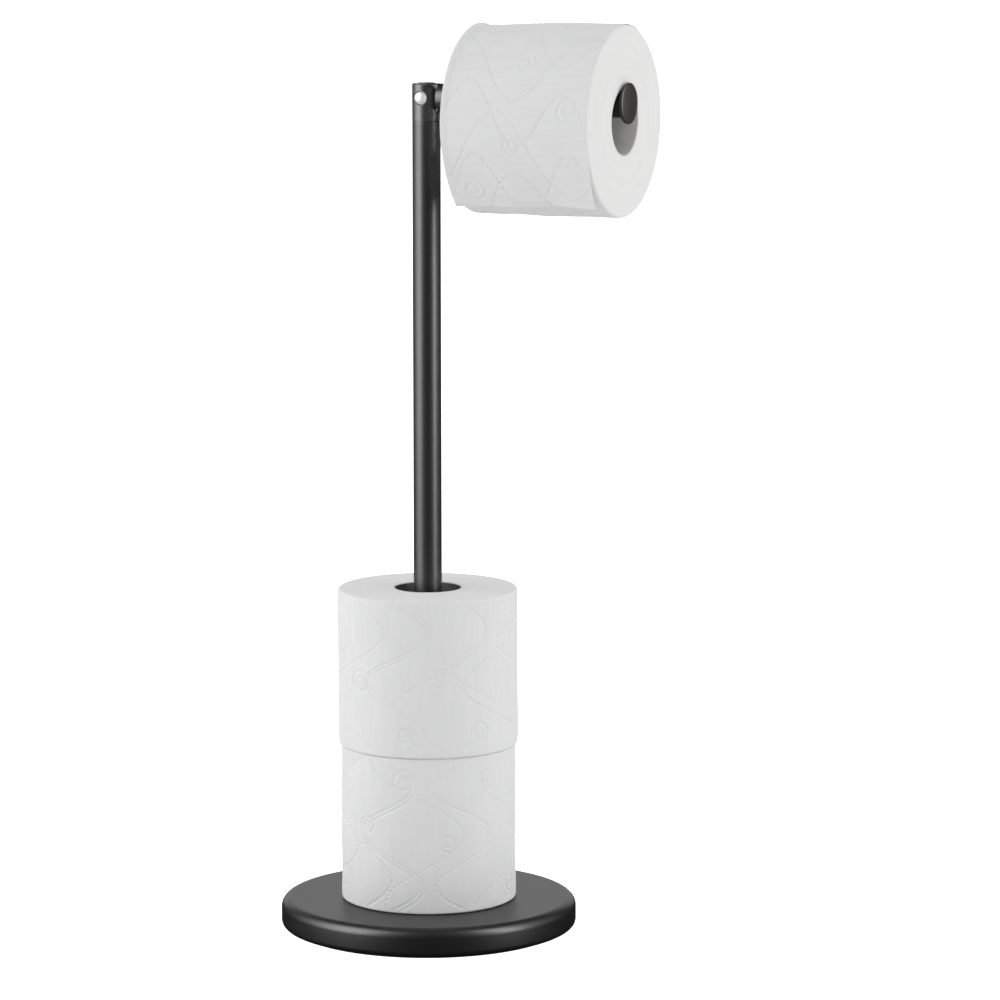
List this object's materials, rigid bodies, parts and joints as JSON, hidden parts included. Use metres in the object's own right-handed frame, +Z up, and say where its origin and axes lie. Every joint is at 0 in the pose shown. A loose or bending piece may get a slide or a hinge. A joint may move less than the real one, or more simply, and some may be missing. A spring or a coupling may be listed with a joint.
{
  "type": "toilet paper holder",
  "caption": "Free-standing toilet paper holder: weighted round base, post that keeps reserve rolls, and a hinged arm that carries the roll in use and folds up.",
  "frame": {"origin": "centre of the foot ring's underside, on the floor under the post", "axes": "+Z up along the post; +X along the arm while it is down; the hinge pin lies along Y with its domed end towards -Y"},
  "size_m": [0.2338, 0.189, 0.5812],
  "materials": {
    "gloss_black_paint": "satin",
    "satin_black_paint": "satin",
    "raw_cast_iron": "matte",
    "moulded_black_plastic": "satin",
    "knob_plastic": "satin",
    "zinc_plated_steel": "satin",
    "pin_chrome": "polished",
    "washer_nylon": "matte",
    "foot_rubber": "matte",
    "core_board": "matte",
    "tissue": "matte"
  },
  "bodies": {
    "stand": {"base_shell": "gloss_black_paint", "base_weight": "raw_cast_iron", "base_plate": "moulded_black_plastic", "plate_screws": "zinc_plated_steel", "foot_ring": "foot_rubber", "post_bolt": "zinc_plated_steel", "bolt_washer": "zinc_plated_steel", "lock_washer": "zinc_plated_steel", "post_insert": "zinc_plated_steel", "post_tube": "satin_black_paint", "hinge_head": "moulded_black_plastic", "hinge_pin": "pin_chrome", "hinge_screw": "pin_chrome", "friction_washers": "washer_nylon"},
    "arm": {"arm_knuckle": "moulded_black_plastic", "arm_tube": "satin_black_paint", "arm_knob": "knob_plastic"},
    "arm_roll": {"arm_roll_core": "core_board", "arm_roll_paper": "tissue", "arm_roll_tail": "tissue"},
    "lower_roll": {"lower_roll_core": "core_board", "lower_roll_paper": "tissue"},
    "upper_roll": {"upper_roll_core": "core_board", "upper_roll_paper": "tissue"}
  },
  "joints": [
    {"name": "arm_fold", "type": "hinge", "parent": "stand", "child": "arm", "pos_m": [0, 0, 0.532], "axis": [0, -1, 0], "range_deg": [0, 90]},
    {"name": "arm_roll_spin", "type": "hinge", "parent": "arm", "child": "arm_roll", "pos_m": [0.085, 0, 0.5208], "axis": [1, 0, 0], "continuous": true},
    {"name": "lower_roll_lift", "type": "slide", "parent": "stand", "child": "lower_roll", "axis": [0, 0, 1], "range_m": [0, 0.1]},
    {"name": "upper_roll_lift", "type": "slide", "parent": "lower_roll", "child": "upper_roll", "axis": [0, 0, 1], "range_m": [0, 0.12]}
  ]
}
